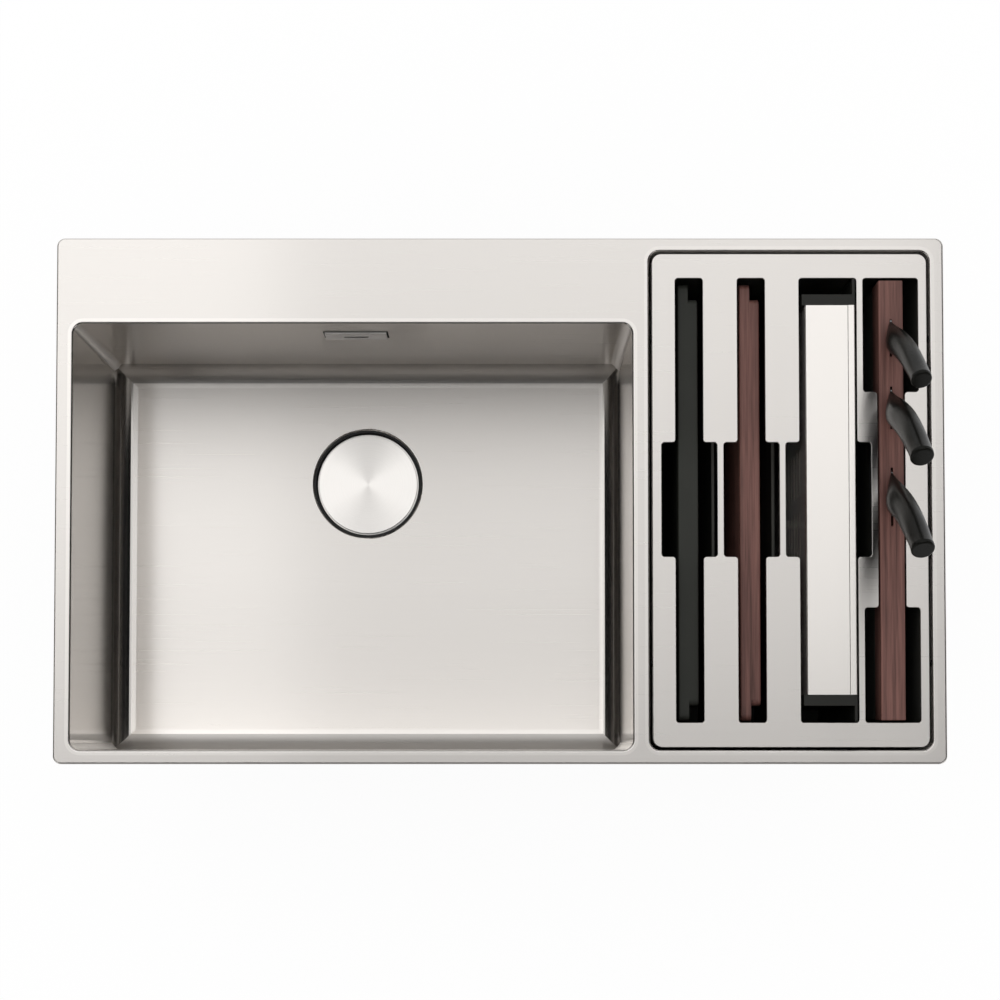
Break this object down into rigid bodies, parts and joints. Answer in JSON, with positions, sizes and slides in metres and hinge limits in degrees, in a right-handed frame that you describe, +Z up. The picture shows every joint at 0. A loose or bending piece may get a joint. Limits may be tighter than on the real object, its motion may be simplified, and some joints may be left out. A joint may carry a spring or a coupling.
{
  "type": "drop-in sink",
  "caption": "Stainless drop-in sink with a large bowl and a side compartment whose slotted organiser stores chopping boards, a draining trough and a knife block.",
  "frame": {"origin": "middle of the deck's outline on the worktop's surface, where the rim's seal rests", "axes": "+X to the storage compartment, +Y to the rear, +Z up"},
  "size_m": [0.86, 0.51, 0.4521],
  "materials": {
    "steel": "satin",
    "spun_steel": "satin",
    "spring_steel": "satin",
    "screw_steel": "satin",
    "blade_steel": "satin",
    "black_plastic": "matte",
    "grey_plastic": "matte",
    "black_rubber": "matte",
    "foam": "matte",
    "sound_pad": "matte",
    "black_board": "matte",
    "dark_wood": "satin",
    "handle_plastic": "satin"
  },
  "bodies": {
    "sink": {"deck_plate": "steel", "main_bowl": "steel", "storage_tub": "steel", "seal_strip": "foam", "clip_brackets": "spring_steel", "spring_clips": "spring_steel", "clip_screws": "screw_steel", "bowl_floor_pad": "sound_pad", "bowl_side_pads": "sound_pad", "tub_floor_pad": "sound_pad", "cup_seal": "black_rubber", "waste_cup": "steel", "body_seal": "black_rubber", "waste_body": "black_plastic", "clamp_screw": "screw_steel", "overflow_cover": "steel", "cover_frame": "black_rubber", "overflow_gasket": "black_rubber", "overflow_housing": "black_plastic", "overflow_screws": "screw_steel", "overflow_pipe": "grey_plastic", "overflow_couplings": "grey_plastic", "grid_seal": "black_rubber", "drain_grid": "steel", "elbow_seal": "black_rubber", "drain_elbow": "black_plastic", "grid_screw": "screw_steel", "link_pipe": "grey_plastic", "link_couplings": "grey_plastic"},
    "strainer": {"strainer_basket": "steel", "strainer_seal": "black_rubber"},
    "drain_lid": {"drain_lid": "spun_steel"},
    "organiser": {"organiser_plate": "steel", "organiser_tray": "black_plastic", "plate_screws": "screw_steel", "tray_feet": "black_rubber", "tray_dividers": "black_plastic", "tray_guides": "black_plastic"},
    "black_board": {"black_board": "black_board"},
    "wood_board": {"wood_board": "dark_wood"},
    "drain_trough": {"drain_trough": "steel", "trough_rear_cap": "black_plastic", "trough_front_cap": "black_plastic"},
    "knife_block": {"knife_block": "dark_wood", "knife_sheath": "black_plastic"},
    "chef_knife": {"chef_knife_blade": "blade_steel", "chef_knife_handle": "handle_plastic", "chef_knife_end": "handle_plastic"},
    "utility_knife": {"utility_knife_blade": "blade_steel", "utility_knife_handle": "handle_plastic", "utility_knife_end": "handle_plastic"},
    "paring_knife": {"paring_knife_blade": "blade_steel", "paring_knife_handle": "handle_plastic", "paring_knife_end": "handle_plastic"}
  },
  "joints": [
    {"name": "strainer_lift", "type": "slide", "parent": "sink", "child": "strainer", "axis": [0, 0, 1], "range_m": [0, 0.25]},
    {"name": "drain_lid_lift", "type": "slide", "parent": "strainer", "child": "drain_lid", "axis": [0, 0, 1], "range_m": [0, 0.06]},
    {"name": "organiser_lift", "type": "slide", "parent": "sink", "child": "organiser", "axis": [0, 0, 1], "range_m": [0, 0.21]},
    {"name": "black_board_lift", "type": "slide", "parent": "organiser", "child": "black_board", "axis": [0, 0, 1], "range_m": [0, 0.2]},
    {"name": "wood_board_lift", "type": "slide", "parent": "organiser", "child": "wood_board", "axis": [0, 0, 1], "range_m": [0, 0.2]},
    {"name": "drain_trough_lift", "type": "slide", "parent": "organiser", "child": "drain_trough", "axis": [0, 0, 1], "range_m": [0, 0.2]},
    {"name": "knife_block_lift", "type": "slide", "parent": "organiser", "child": "knife_block", "axis": [0, 0, 1], "range_m": [0, 0.2]},
    {"name": "chef_knife_draw", "type": "slide", "parent": "knife_block", "child": "chef_knife", "axis": [0, -0.4772, 0.8788], "range_m": [0, 0.21]},
    {"name": "utility_knife_draw", "type": "slide", "parent": "knife_block", "child": "utility_knife", "axis": [0, -0.4772, 0.8788], "range_m": [0, 0.165]},
    {"name": "paring_knife_draw", "type": "slide", "parent": "knife_block", "child": "paring_knife", "axis": [0, -0.4772, 0.8788], "range_m": [0, 0.095]}
  ]
}
